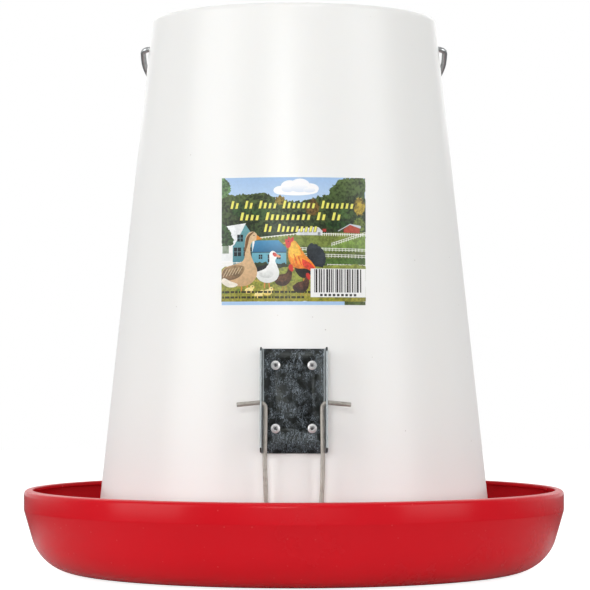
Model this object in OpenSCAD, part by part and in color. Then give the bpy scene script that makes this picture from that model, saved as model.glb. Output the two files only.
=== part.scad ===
// Hanging gravity feeder for poultry: a tapered hopper pours feed into a round tray.
// Z is up, the tray's foot stands on Z = 0, and the front bracket faces -Y.
// Two spring wires fixed in the tray hook into a bracket on the front and one on the
// rear of the hopper, and the hole that they are in sets the height of the hopper.

/* [Hopper] */
// Overall height, from the ground to the hopper's top edge
overall_h = 416.7; // [414:0.1:420]
// Outer radius of the hopper's cone, carried up to the top edge
hopper_top_r = 107.1; // [104:0.1:109]
// Lean of the hopper's wall from upright, in degrees
hopper_taper = 6.15; // [5.9:0.01:6.2]
// Height of the hopper's lower edge above the ground, as set here
hopper_bottom_z = 40; // [38:0.5:48]
// Wall thickness of the hopper
hopper_wall = 3; // [2.5:0.1:3.5]
// Outer radius of the turned-in top lip
hopper_lip_r = 4.6; // [4.2:0.1:6]
// Flat width of the hopper's top lip
hopper_lip_flat = 2.2; // [1:0.1:4]

/* [Tray] */
// Outer radius of the tray's rim
tray_r = 203.2; // [200:0.1:206]
// Height of the tray
tray_h = 62; // [58:0.5:66]
// Wall thickness of the tray
tray_wall = 3; // [2.5:0.1:3.5]
// Height of the upright band under the rim
tray_band_h = 15; // [10:0.5:20]
// Lean of the tray's wall below the band, in degrees
tray_lean = 16.2; // [12:0.1:18]
// Outer radius of the rounded bottom corner
tray_corner_r = 34; // [30:0.5:38]
// Outer radius of the turned-in rim
tray_lip_r = 4; // [3.6:0.1:5]
// Flat width of the rim
tray_lip_flat = 2.5; // [1:0.1:4]
// Radius of the flat ring that the tray stands on
foot_r = 150; // [146:0.5:154]
// Height of the feed cone in the middle, under its skin
cone_h = 44; // [30:1:55]
// Radius of the feed cone's base
cone_base_r = 124; // [110:1:130]

/* [Bracket] */
// Width inside the channel, at its back
bracket_inner_w = 44; // [43:0.5:48]
// Length of the channel along the wall
bracket_len = 74; // [72:0.5:78]
// Height of the channel's middle
bracket_mid_z = 130.25; // [129:0.25:132]
// Depth of the flanges, from the back of the channel
bracket_depth = 15.2; // [15:0.1:16]
// Sheet thickness
bracket_t = 1.2; // [1:0.1:1.5]
// Outward splay of the flanges, in degrees
bracket_splay = 3; // [0:0.5:4]
// Distance between the setting holes
hole_pitch = 14; // [13.8:0.1:14.2]
// Diameter of the setting holes
setting_hole_d = 5.2; // [4.8:0.1:5.4]

/* [Rivets] */
// Distance between the rivets, across
rivet_dx = 25.9; // [24:0.1:27]
// Distance between the rivets, up the wall
rivet_dz = 44.75; // [40:0.25:48]
// Height of the rivets' centre above the bracket's middle
rivet_offset = 2.9; // [0:0.1:4]
// Diameter of the rivet's domed head
rivet_head_d = 6.8; // [6.2:0.1:7.4]

/* [Wires] */
// Diameter of the adjusting wires
wire_d = 3.2; // [3:0.1:3.4]
// How far each hooked end reaches from the middle
wire_reach = 40.2; // [38:0.1:41]
// Droop of the hooked ends, in degrees
wire_droop = 5.3; // [5:0.1:5.5]
// Half the distance between the legs at the bracket
leg_top_x = 20.4; // [20:0.1:20.5]
// Half the distance between the legs at the tray's floor
leg_foot_x = 17.6; // [16.5:0.1:18]

/* [Bail] */
// Diameter of the bail's wire
bail_d = 4.2; // [4:0.1:4.3]
// Height of the bail's holes
bail_z = 394.6; // [393:0.1:396]
// Half the width of the bail beside the hopper
bail_half_w = 114.6; // [114.3:0.1:116]
// Distance from the bail's holes to the top of its arch
bail_reach = 150; // [140:1:160]
// Angle from straight down at which the bail hangs behind the hopper
bail_rest = 58; // [58:0.5:62]

/* [Label] */
// Width of the label, seen from the front
label_w = 104; // [90:1:110]
// Height of the label
label_h = 92.5; // [80:0.5:95]
// Height of the label's lower edge
label_z = 197.5; // [190:0.5:205]

/* [Hidden] */
fine = 96;
arc_steps = 8;

// fits
skin_gap = 0.05;       // between a flat or stuck-on piece and the wall
shank_play = 0.05;     // round a rivet's shank and round its stub
bail_play = 0.06;      // round the bail's wire in its holes
wire_gap = 0.3;        // between a leg's pivot and the foot of its wire
groove_play = 0.7;     // over the wire in its groove, where its bends start to rise
run_slack = 0.03;      // how much less a wire's straight runs are in radius than its bends
run_reach = 0.4;       // how far a straight run goes into the bends beside it

// heights
hopper_lean_x = tan(hopper_taper);
function hopper_r(z) = hopper_top_r + (overall_h - z) * hopper_lean_x;

// adjusting wires: each hole row is upright, so the ends meet every hole
hole_z = 129.2;
hole_y = -146.6;
leg_foot_y = -155.5;
leg_foot_z = 8.4;
wire_rest_z = wire_d / 2 + 0.4;
wire_bend = 4;
hole_inset = 9;        // from a setting hole's middle to the free edge of its flange, about

// channel under the tray that holds the bottom of each wire
groove_top = wire_rest_z + wire_d / 2 + groove_play;
groove_half_l = leg_foot_x + 3;
groove_half_w = 2.6;
pad_top = groove_top + tray_wall;
pad_half_l = groove_half_l + 5;
pad_half_w = 7;
pad_hole_d = wire_d + 1.8;

// bracket and rivets
inner_bend = 1.5;
corner_cut = 3;
shank_d = 3.2;
stub_d = 2;
stub_top = 0.2;
tail_d = 4.8;
tail_len = 2.6;
washer_d = 9;
washer_t = 1;
head_h = 1.25;

// bail
bail_bend = 5;
bail_upright = 7;
bail_turn_r = 60;
bail_lean = 14;
bail_hook_x = 101.5;
bail_hook_len = 8;

// label
label_t = 0.25;
label_corner = 3.5;

white = "#f4f4f1";
red = "#cf1b26";
zinc = "#8d9499";
dark_zinc = "#43474b";
wire_grey = "#a49f97";
bright = "#d9dadb";

sides = ["left", "right"];
corners = [1, 2, 3, 4];

// ---------- shared shapes ----------

// points on an arc, from angle a0 to a1
function arc(cx, cy, r, a0, a1) =
    [for (i = [0 : arc_steps])
        [cx + r * cos(a0 + (a1 - a0) * i / arc_steps),
         cy + r * sin(a0 + (a1 - a0) * i / arc_steps)]];

// a round wire in the XY plane: each step is [straight run, turn to the left, bend radius];
// the runs are a hair thinner than the bends and reach into them, so that they join
module bent_wire(d, steps, i = 0) {
    if (i < len(steps)) {
        run = steps[i][0];
        turn = steps[i][1];
        side = turn < 0 ? -1 : 1;
        r = steps[i][2];
        before = i > 0 ? run_reach : 0;
        after = turn != 0 ? run_reach : 0;
        translate([-before, 0, 0]) rotate([0, 90, 0])
            cylinder(d = d - 2 * run_slack, h = run + before + after, $fn = fine);
        translate([run, 0, 0]) {
            if (turn != 0)
                mirror([0, side < 0 ? 1 : 0, 0]) translate([0, r, 0]) rotate([0, 0, -90])
                    rotate_extrude(angle = abs(turn), $fn = fine)
                        translate([r, 0]) circle(d = d, $fn = fine);
            translate([0, side * r, 0]) rotate([0, 0, turn]) translate([0, -side * r, 0])
                bent_wire(d, steps, i + 1);
        }
    }
}

// puts a shape on the front of the hopper's wall: +Y outwards, +Z up the wall
module on_wall(z)
    translate([0, -hopper_r(z), z]) rotate([-hopper_taper, 0, 0]) rotate([0, 0, 180])
        children();

// turns a front piece round to the rear
module at_end(end) rotate([0, 0, end == "rear" ? 180 : 0]) children();

// ---------- tray ----------

module tray_section() {
    w = tray_wall;
    knee_z = tray_h - tray_band_h;
    slope = tan(tray_lean);
    centre_x = tray_r - slope * knee_z + slope * (tray_corner_r + foot_rise)
        - tray_corner_r / cos(tray_lean);
    centre_z = tray_corner_r + foot_rise;
    lip_x = tray_r - tray_lip_r;
    lip_z = tray_h - tray_lip_r;
    dip = atan(cone_h / cone_base_r);
    tip_z = (cone_base_r - tip_r * sin(dip)) * tan(dip) - tip_r * cos(dip);
    floor_x = cone_base_r + w * tan(dip / 2);
    polygon(concat(
        arc(0, tip_z, tip_r, 90, 90 - dip),
        [[cone_base_r, 0], [foot_r, 0]],
        arc(centre_x, centre_z, tray_corner_r, -90, -tray_lean),
        [[tray_r, knee_z]],
        arc(lip_x, lip_z, tray_lip_r, 0, 90),
        [[lip_x - tray_lip_flat, tray_h], [lip_x - tray_lip_flat, tray_h - w]],
        arc(lip_x, lip_z, tray_lip_r - w, 90, 0),
        [[tray_r - w, knee_z + w * tan(tray_lean / 2)]],
        arc(centre_x, centre_z, tray_corner_r - w, -tray_lean, -90),
        [[foot_r, w], [floor_x, w]],
        arc(0, tip_z, tip_r + w, 90 - dip, 90)
    ));
}
foot_rise = 0.8;
tip_r = 22;

// raised pad that covers the bottom of a wire, with rounded ends
module wire_pad(half_l, half_w, z0, z1)
    translate([0, leg_foot_y, z0]) {
        for (side = [-1, 1])
            translate([side * (half_l - half_w), 0, 0])
                cylinder(r = half_w, h = z1 - z0, $fn = fine);
        translate([half_w - half_l, -half_w, 0])
            cube([2 * (half_l - half_w), 2 * half_w, z1 - z0]);
    }

module tray() {
    color(red) difference() {
        union() {
            rotate_extrude($fn = fine) tray_section();
            for (end = ["front", "rear"]) at_end(end)
                wire_pad(pad_half_l, pad_half_w, foot_rise + 0.2, pad_top);
        }
        for (end = ["front", "rear"]) at_end(end) {
            wire_pad(groove_half_l, groove_half_w, -1, groove_top);
            for (side = [-1, 1])
                translate([side * leg_foot_x, leg_foot_y, -1])
                    cylinder(d = pad_hole_d, h = pad_top + 2, $fn = fine);
        }
    }
}

// ---------- hopper ----------

module hopper_section() {
    w = hopper_wall / cos(hopper_taper);
    lip_z = overall_h - hopper_lip_r;
    lip_x = hopper_r(lip_z) - hopper_lip_r / cos(hopper_taper);
    bottom_r = hopper_r(hopper_bottom_z);
    polygon(concat(
        [[bottom_r - w, hopper_bottom_z], [bottom_r, hopper_bottom_z]],
        arc(lip_x, lip_z, hopper_lip_r, hopper_taper, 90),
        [[lip_x - hopper_lip_flat, overall_h],
         [lip_x - hopper_lip_flat, overall_h - hopper_wall]],
        arc(lip_x, lip_z, hopper_lip_r - hopper_wall, 90, hopper_taper)
    ));
}

module hopper() {
    color(white) difference() {
        rotate_extrude($fn = fine) hopper_section();
        translate([0, 0, bail_z]) rotate([0, 90, 0])
            cylinder(d = bail_d + 2 * bail_play, h = 2 * bail_half_w + 20, center = true,
                $fn = fine);
        for (end = ["front", "rear"], i = corners) at_end(end) at_rivet(i)
            translate([0, 0, -2 * hopper_wall])
                cylinder(d = shank_d + 2 * shank_play, h = 3 * hopper_wall, $fn = fine);
    }
}

// ---------- bracket ----------

// the channel's section, with its back on Y = 0
module channel_section() {
    s = bracket_splay;
    outer_bend = inner_bend + bracket_t;
    flat_x = bracket_inner_w / 2 - inner_bend;
    flange_l = bracket_depth - outer_bend;
    function tip(r) =
        [flat_x + r * cos(s) + flange_l * sin(s), outer_bend - r * sin(s) + flange_l * cos(s)];
    right = concat(
        arc(flat_x, outer_bend, outer_bend, -90, -s),
        [tip(outer_bend), tip(inner_bend)],
        arc(flat_x, outer_bend, inner_bend, -s, -90)
    );
    polygon(concat(right, [for (i = [len(right) - 1 : -1 : 0]) [-right[i][0], right[i][1]]]));
}

module bracket() {
    difference() {
        on_wall(bracket_mid_z) translate([0, skin_gap, -bracket_len / 2]) difference() {
            linear_extrude(height = bracket_len) channel_section();
            for (z = [0, bracket_len])
                translate([0, bracket_depth, z]) rotate([45, 0, 0])
                    cube([2 * bracket_inner_w, sqrt(2) * corner_cut, sqrt(2) * corner_cut],
                        center = true);
        }
        for (i = [-2 : 2])
            translate([0, hole_y, hole_z + i * hole_pitch]) rotate([0, 90, 0])
                cylinder(d = setting_hole_d, h = 2 * bracket_inner_w, center = true, $fn = fine);
        for (i = corners) at_rivet(i)
            translate([0, 0, -1 - bracket_t])
                cylinder(d = shank_d + 2 * shank_play, h = bracket_t + 2, $fn = fine);
    }
}

// ---------- rivets ----------

// +Z points out of the bracket, and the head sits on Z = 0
module at_rivet(i)
    on_wall(bracket_mid_z)
        translate([(i % 2 == 1 ? 1 : -1) * rivet_dx / 2, skin_gap + bracket_t,
            rivet_offset + (i <= 2 ? 1 : -1) * rivet_dz / 2])
            rotate([-90, 0, 0]) children();

// the curved wall falls away behind the flat bracket, most at a washer's far edge
washer_reach = rivet_dx / 2 + washer_d / 2;
inner_wall_r = hopper_r(bracket_mid_z + rivet_dz) - hopper_wall;
washer_z = -(bracket_t + hopper_wall + washer_reach * washer_reach / (2 * inner_wall_r) + 0.2);
tail_z = washer_z - washer_t;

module rivet() {
    dome_r = (rivet_head_d * rivet_head_d / 4 + head_h * head_h) / (2 * head_h);
    rotate_extrude($fn = fine) difference() {
        union() {
            intersection() {
                translate([0, head_h - dome_r]) circle(r = dome_r, $fn = fine);
                square([rivet_head_d, head_h + 1]);
            }
            translate([0, tail_z - tail_len]) square([shank_d / 2, tail_len - tail_z]);
            translate([0, tail_z - tail_len]) square([tail_d / 2 - 0.6, tail_len]);
            translate([0, tail_z - tail_len + 0.6]) square([tail_d / 2, tail_len - 0.6]);
        }
        translate([-rivet_head_d, -20]) square([rivet_head_d + stub_d / 2, 40]);
    }
}

// broken-off pulling pin that stays in the rivet, with its head behind the tail
module stub() {
    pin_r = stub_d / 2 - shank_play;
    seat_z = tail_z - tail_len;
    rotate_extrude($fn = fine) polygon([
        [0, stub_top], [pin_r, stub_top], [pin_r, seat_z], [pin_r + 0.5, seat_z],
        [pin_r + 0.5, seat_z - 1], [0, seat_z - 1.4]
    ]);
}

module washer() {
    translate([0, 0, tail_z]) difference() {
        cylinder(d = washer_d, h = washer_t, $fn = fine);
        translate([0, 0, -1])
            cylinder(d = shank_d + 2 * shank_play, h = washer_t + 2, $fn = fine);
    }
}

// ---------- adjusting wires ----------

leg_lean = atan((hole_y - leg_foot_y) / (hole_z - leg_foot_z));
leg_rise = (hole_z - leg_foot_z) / cos(leg_lean);
flange_x = bracket_inner_w / 2 + bracket_t / 2 + (bracket_depth - hole_inset) * sin(bracket_splay);

// the right-hand leg from its pivot up to its drooping end
module leg() {
    turn = 90 + wire_droop;
    hook_x = wire_bend * (1 - cos(turn));
    // the bend crosses the middle of the flange at the hole's height
    before_flange = leg_top_x + wire_bend - flange_x;
    run_rise = leg_rise - sqrt(wire_bend * wire_bend - before_flange * before_flange);
    slant = atan((leg_top_x - leg_foot_x) / run_rise);
    translate([leg_foot_x, leg_foot_y, leg_foot_z]) rotate([-leg_lean, 0, 0])
        rotate([90, 0, 0]) rotate([0, 0, 90 - slant])
            bent_wire(wire_d, [
                [run_rise / cos(slant), slant - turn, wire_bend],
                [(wire_reach - leg_top_x - hook_x) / cos(wire_droop), 0, 0]
            ]);
}

// the bottom of the wire, under the tray's floor between the two legs
module wire_foot() {
    top_z = leg_foot_z - wire_d / 2 - wire_gap;
    riser = top_z - wire_rest_z - wire_bend;
    translate([leg_foot_x, leg_foot_y, top_z]) rotate([90, 0, 0]) rotate([0, 0, -90])
        bent_wire(wire_d, [
            [riser, -90, wire_bend],
            [2 * (leg_foot_x - wire_bend), -90, wire_bend],
            [riser, 0, 0]
        ]);
}

// ---------- bail ----------

// the bail lies in the XY plane here, with its holes on the X axis and its top at +Y
module bail() {
    side_x = bail_half_w - bail_turn_r * (1 - cos(bail_lean));
    side_y = bail_bend + bail_upright + bail_turn_r * sin(bail_lean);
    // the top arch is the circle about X = 0 that both leaning sides run into
    edge = cos(bail_lean) * (side_x + side_y * tan(bail_lean));
    centre_y = (bail_reach - edge) / (1 - sin(bail_lean));
    top_r = bail_reach - centre_y;
    lean_run = (centre_y + top_r * sin(bail_lean) - side_y) / cos(bail_lean);
    through = bail_half_w - bail_bend - bail_hook_x;
    color(wire_grey) translate([0, 0, bail_z]) rotate([bail_rest - 90, 0, 0])
        translate([bail_bend - bail_hook_x, bail_bend + bail_hook_len, 0])
            rotate([0, 0, -90]) bent_wire(bail_d, [
                [bail_hook_len, -90, bail_bend],
                [through, -90, bail_bend],
                [bail_upright, -bail_lean, bail_turn_r],
                [lean_run, 2 * bail_lean - 180, top_r],
                [lean_run, -bail_lean, bail_turn_r],
                [bail_upright, -90, bail_bend],
                [through, -90, bail_bend],
                [bail_hook_len, 0, 0]
            ]);
}

// ---------- label ----------

module label_outline() {
    left = -label_w / 2;
    square_w = label_w - label_corner;
    translate([left, label_z]) square([square_w, label_h]);
    translate([left, label_z + label_corner]) square([label_w, label_h - 2 * label_corner]);
    for (z = [label_corner, label_h - label_corner])
        translate([left + square_w, label_z + z]) circle(r = label_corner, $fn = fine);
}

module label() {
    top_z = label_z + label_h;
    color("khaki") intersection() {
        rotate_extrude($fn = fine) polygon([
            for (z = [label_z, top_z]) [hopper_r(z) + skin_gap, z],
            for (z = [top_z, label_z]) [hopper_r(z) + skin_gap + label_t, z]
        ]);
        rotate([90, 0, 0]) linear_extrude(height = 2 * hopper_top_r) label_outline();
    }
}

// ---------- the assembly ----------

tray();
hopper();
label();
bail();
for (end = ["front", "rear"]) {
    color(dark_zinc) at_end(end) bracket();
    color(wire_grey) at_end(end) wire_foot();
    for (side = sides)
        color(wire_grey) at_end(end) mirror([side == "left" ? 1 : 0, 0, 0]) leg();
    for (i = corners) {
        color(bright) at_end(end) at_rivet(i) rivet();
        color(zinc) at_end(end) at_rivet(i) stub();
        color(zinc) at_end(end) at_rivet(i) washer();
    }
}
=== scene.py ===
import math
import bmesh
import bpy
from mathutils import Matrix, Vector, geometry, noise


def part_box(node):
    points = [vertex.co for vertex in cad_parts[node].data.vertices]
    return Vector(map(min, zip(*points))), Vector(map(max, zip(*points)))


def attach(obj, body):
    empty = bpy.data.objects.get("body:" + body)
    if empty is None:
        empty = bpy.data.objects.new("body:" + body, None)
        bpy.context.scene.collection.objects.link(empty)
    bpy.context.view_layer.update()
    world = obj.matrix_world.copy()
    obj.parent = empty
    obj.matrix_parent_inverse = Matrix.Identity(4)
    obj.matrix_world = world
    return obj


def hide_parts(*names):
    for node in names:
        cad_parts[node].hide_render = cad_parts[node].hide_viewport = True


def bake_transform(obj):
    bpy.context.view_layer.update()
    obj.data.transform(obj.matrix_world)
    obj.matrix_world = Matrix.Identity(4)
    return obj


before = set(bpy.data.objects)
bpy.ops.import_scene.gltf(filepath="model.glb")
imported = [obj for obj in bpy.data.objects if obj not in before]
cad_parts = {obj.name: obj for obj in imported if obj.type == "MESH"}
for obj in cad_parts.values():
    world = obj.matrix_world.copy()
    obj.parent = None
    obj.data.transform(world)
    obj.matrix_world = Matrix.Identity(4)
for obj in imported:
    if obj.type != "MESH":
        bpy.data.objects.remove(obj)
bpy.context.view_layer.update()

# A hanging gravity feeder for poultry: white hopper, red tray, wires and hole brackets
# that set the height, a wire bail, and a printed label.

# ---------- sizes ----------
# The model is in metres. Outlines and paths are written in mm and scaled by MM.

MM = 0.001
tray_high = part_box("tray")[1] / MM
hopper_low, hopper_high = (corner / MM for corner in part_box("hopper"))
label_low, label_high = (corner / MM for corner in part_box("label"))
TAPER = 6.15                    # lean of the hopper's wall, in degrees
FRONT_AND_REAR = {"front": 0, "rear": 180}
BRACKET_Z = 130.25              # height of a bracket's middle
WIRE_D = 3.2
HOLE_Z = 129.2                  # height of the setting hole in use
HOLE_Y = -146.6
FOOT_X = 17.6                   # where a wire's legs pass through the tray
FOOT_Y = -155.5
FOOT_Z = 8.4
BAIL_Z = 394.6                  # height of the bail's holes
BAIL_D = 4.2
AROUND = 360                    # steps round the tray and the hopper
SAME_SPOT = 0.002               # points closer than this are one point


def hopper_r(z):
    """Outer radius of the hopper's cone at a height."""
    return hopper_high.x - (z - hopper_low.z) * math.tan(math.radians(TAPER))


def arc(cx, cz, r, start, end, steps=10):
    """Points on an arc between two angles in degrees."""
    turns = [math.radians(start + (end - start) * i / steps) for i in range(steps + 1)]
    return [(cx + r * math.cos(t), cz + r * math.sin(t)) for t in turns]


def smooth(knots, steps):
    """A smooth curve through the knots, from the second up to the last but one."""
    points = []
    for a, b, c, d in zip(knots, knots[1:], knots[2:], knots[3:]):
        for t in (i / steps for i in range(steps)):
            points.append(tuple(0.5 * (2 * q + (r - p) * t + (2 * p - 5 * q + 4 * r - s) * t * t
                                       + (3 * q - p - 3 * r + s) * t ** 3)
                                for p, q, r, s in zip(a, b, c, d)))
    return points


def eased(outline, steps=5):
    """Rounds the corners of a closed outline: a point may carry a third number, its radius."""
    points = []
    count = len(outline)
    for i, point in enumerate(outline):
        if len(point) == 2:
            points.append(point)
            continue
        here = Vector(point[:2])
        before = (Vector(outline[i - 1][:2]) - here).normalized()
        after = (Vector(outline[(i + 1) % count][:2]) - here).normalized()
        half = before.angle(after) / 2
        reach = point[2] / math.tan(half)
        for step in range(steps + 1):
            t = step / steps
            start = here + before * reach
            end = here + after * reach
            bent = start.lerp(here, t).lerp(here.lerp(end, t), t)
            points.append(tuple(bent))
    return points


# ---------- camera, lights, floor ----------

CAMERA_PLACE = (0.0008, -2.018, 0.1622)
CAMERA_AIM = (0.0008, 0, 0.2082)
CAMERA_LENS = 162.6
STUDIO_AIM = (0, 0, 0.2)
FLOOR_R = 2.6
FLOOR_DROP = 0.0004             # keeps the floor's face clear of the tray's foot


def make_camera():
    camera = bpy.data.objects.new("Camera", bpy.data.cameras.new("Camera"))
    bpy.context.scene.collection.objects.link(camera)
    camera.data.lens = CAMERA_LENS
    camera.data.sensor_width = 36
    camera.location = CAMERA_PLACE
    aim = Vector(CAMERA_AIM) - camera.location
    camera.rotation_euler = aim.to_track_quat("-Z", "Y").to_euler()
    bpy.context.scene.camera = camera


def make_light(name, place, aim, size, watts):
    light = bpy.data.lights.new(name, "AREA")
    light.shape = "RECTANGLE"
    light.size, light.size_y = size
    light.energy = watts
    lamp = bpy.data.objects.new(name, light)
    bpy.context.scene.collection.objects.link(lamp)
    lamp.location = place
    lamp.rotation_euler = (Vector(aim) - lamp.location).to_track_quat("-Z", "Y").to_euler()
    return lamp


def make_studio():
    bpy.context.scene.view_settings.view_transform = "Standard"
    make_light("Left softbox", (-1.8, -1.0, 0.7), STUDIO_AIM, (1.3, 1.5), 21.5)
    make_light("Right softbox", (1.8, -1.1, 0.7), STUDIO_AIM, (1.2, 1.5), 18)
    make_light("Front softbox", (-0.3, -2.3, 0.9), STUDIO_AIM, (0.6, 0.25), 8.5)
    fill = make_light("Low fill", (0.1, -2.4, 0.2), (0, 0, 0.12), (1.8, 0.4), 9.5)
    fill.visible_glossy = False     # it lights the tray without a reflection in it
    make_light("Top softbox", (0, -1.0, 1.9), (0, -0.1, 0.2), (1.1, 0.5), 6)
    make_light("Back softbox", (0, 1.9, 1.1), (0, 0, 0.3), (2.4, 1.2), 8)

    world = bpy.data.worlds.new("Studio")
    world.use_nodes = True
    bpy.context.scene.world = world
    tree = world.node_tree
    tree.nodes.clear()
    way = add(tree, "ShaderNodeTexCoord").outputs["Generated"]
    depth = add(tree, "ShaderNodeSeparateXYZ", {0: way}).outputs["Y"]
    # dim in front and brighter behind; the camera itself sees plain white
    behind = eased_range(tree, depth, 0.1, 0.5, 0.17, 0.85)
    rays = add(tree, "ShaderNodeLightPath").outputs["Is Camera Ray"]
    strength = add(tree, "ShaderNodeMix", {0: rays, 2: behind, 3: 1.0}).outputs[0]
    sky = add(tree, "ShaderNodeBackground", {"Color": (1, 1, 1, 1), "Strength": strength})
    add(tree, "ShaderNodeOutputWorld", {"Surface": sky.outputs[0]})


def make_floor():
    floor_mesh = bmesh.new()
    bmesh.ops.create_circle(floor_mesh, cap_ends=True, segments=96, radius=FLOOR_R)
    floor = add_piece("Floor", floor_mesh)
    floor.location.z = -FLOOR_DROP
    material, tree, shader, place = new_material("Pale studio floor")
    cloud = noisy(tree, place, 2.0)
    shader.inputs["Roughness"].default_value = 0.8
    away = add(tree, "ShaderNodeVectorMath", {0: place}, operation="LENGTH").outputs["Value"]
    # darker beyond the tray, so that less light comes back up from the ground
    paper = mixed(tree, cloud, linear("#dcdcdc"), linear("#e4e4e4"))
    paper = mixed(tree, eased_range(tree, away, 0.25, 0.36), paper, linear("#6c6c6c"))
    join(tree, paper, shader.inputs["Base Color"])
    # the camera alone sees the floor's own light, which keeps the ground near white
    lit = eased_range(tree, away, 0.18, 0.28, 0.88, 1.0)
    seen = add(tree, "ShaderNodeLightPath").outputs["Is Camera Ray"]
    join(tree, mixed(tree, times(tree, seen, lit), (0, 0, 0, 1), (1, 1, 1, 1)),
         shader.inputs["Emission Color"])
    shader.inputs["Emission Strength"].default_value = 1.0
    floor.data.materials.append(material)


# ---------- small helpers for node trees ----------

FLOAT = "NodeSocketFloat"
VECTOR = "NodeSocketVector"


def join(tree, value, socket):
    """Links an output to a socket, or sets the socket's own value."""
    if isinstance(value, bpy.types.NodeSocket):
        tree.links.new(value, socket)
    else:
        socket.default_value = value


def add(tree, kind, values=None, **settings):
    node = tree.nodes.new(kind)
    for key, value in settings.items():
        setattr(node, key, value)
    for key, value in (values or {}).items():
        join(tree, value, node.inputs[key])
    return node


def sums(tree, operation, a, b=0.0):
    return add(tree, "ShaderNodeMath", {0: a, 1: b}, operation=operation).outputs[0]


def times(tree, a, b):
    return sums(tree, "MULTIPLY", a, b)


def plus(tree, a, b):
    return sums(tree, "ADD", a, b)


def raised(tree, start, mask, share):
    """A number, raised by a share of a mask."""
    return plus(tree, start, times(tree, mask, share))


def eased_range(tree, value, low, high, out_low=0.0, out_high=1.0):
    values = {"Value": value, "From Min": low, "From Max": high,
              "To Min": out_low, "To Max": out_high}
    return add(tree, "ShaderNodeMapRange", values, interpolation_type="SMOOTHSTEP").outputs[0]


def mixed(tree, factor, a, b, how="MIX"):
    node = add(tree, "ShaderNodeMix", data_type="RGBA", blend_type=how)
    for index, value in ((0, factor), (6, a), (7, b)):
        join(tree, value, node.inputs[index])
    return node.outputs[2]


def tinted(tree, base, mask, share, tone):
    """A share of another tone over the base, where the mask is white."""
    return mixed(tree, times(tree, mask, share), base, linear(tone))


def stretched(tree, place, scale, turn=(0, 0, 0)):
    """The same place, scaled and turned, for a pattern that runs one way."""
    values = {"Vector": place, "Scale": scale, "Rotation": turn}
    return add(tree, "ShaderNodeMapping", values).outputs[0]


def noisy(tree, place, scale, detail=2.0, **more):
    """A soft random pattern."""
    values = {"Vector": place, "Scale": scale, "Detail": detail, **more}
    return add(tree, "ShaderNodeTexNoise", values).outputs["Fac"]


def cells(tree, place, scale, channel=0):
    """Scattered cells: a number drawn for each, and the distance from its middle."""
    node = add(tree, "ShaderNodeTexVoronoi", {"Vector": place, "Scale": scale})
    parts = add(tree, "ShaderNodeSeparateColor", {0: node.outputs["Color"]})
    return parts.outputs[channel], node.outputs["Distance"]


def new_group(name, takes, gives, kind="ShaderNodeTree"):
    """A node group with named inputs (name, type, value) and named outputs (name, type)."""
    tree = bpy.data.node_groups.new(name, kind)
    for label, socket_type, value in takes:
        socket = tree.interface.new_socket(label, in_out="INPUT", socket_type=socket_type)
        if value is not None:
            socket.default_value = value
    for label, socket_type in gives:
        tree.interface.new_socket(label, in_out="OUTPUT", socket_type=socket_type)
    ends = tree.nodes.new("NodeGroupInput"), tree.nodes.new("NodeGroupOutput")
    return tree, ends[0].outputs, ends[1].inputs


def use_group(tree, group, **values):
    """Places a group in a material; a word's underscores stand for spaces in a socket's name."""
    node = tree.nodes.new("ShaderNodeGroup")
    node.node_tree = group
    for key, value in values.items():
        join(tree, value, node.inputs[key.replace("_", " ")])
    return node.outputs


def linear(tone):
    """An sRGB colour such as #cf1b26 as the linear numbers that a shader takes."""
    parts = [int(tone[i:i + 2], 16) / 255 for i in (1, 3, 5)]
    return (*[p / 12.92 if p < 0.04045 else ((p + 0.055) / 1.055) ** 2.4 for p in parts], 1)


def new_material(name):
    material = bpy.data.materials.new(name)
    material.use_nodes = True
    tree = material.node_tree
    shader = tree.nodes["Principled BSDF"]
    place = add(tree, "ShaderNodeTexCoord").outputs["Object"]
    return material, tree, shader, place


def set_look(tree, shader, base, rough, height, strength, distance):
    """Colour, roughness and a bump whose distance is in mm."""
    join(tree, base, shader.inputs["Base Color"])
    join(tree, rough, shader.inputs["Roughness"])
    values = {"Height": height, "Strength": strength, "Distance": distance * MM}
    join(tree, add(tree, "ShaderNodeBump", values).outputs[0], shader.inputs["Normal"])


# ---------- surface effects that several materials share ----------

LENGTHWISE = (1, 1, 0.08)       # draws a pattern out along Z


def moulded_skin():
    """Fine peel, small pits and broad clouding of moulded polyethylene."""
    tree, takes, gives = new_group(
        "Moulded skin",
        [("Vector", VECTOR, None), ("Peel Scale", FLOAT, 300.0),
         ("Pit Scale", FLOAT, 160.0), ("Pit Share", FLOAT, 0.2)],
        [("Height", FLOAT), ("Pits", FLOAT), ("Cloud", FLOAT)])
    place = takes["Vector"]
    peel = noisy(tree, place, takes["Peel Scale"], 3.0, Roughness=0.6)
    cloud = noisy(tree, place, 11.0, 5.0)
    lot, away = cells(tree, place, takes["Pit Scale"])
    spot = eased_range(tree, away, 0.05, 0.17, 1.0, 0.0)
    pits = times(tree, spot, sums(tree, "LESS_THAN", lot, takes["Pit Share"]))
    height = sums(tree, "SUBTRACT", peel, pits)
    for name, value in (("Height", height), ("Pits", pits), ("Cloud", cloud)):
        join(tree, value, gives[name])
    return tree


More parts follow.
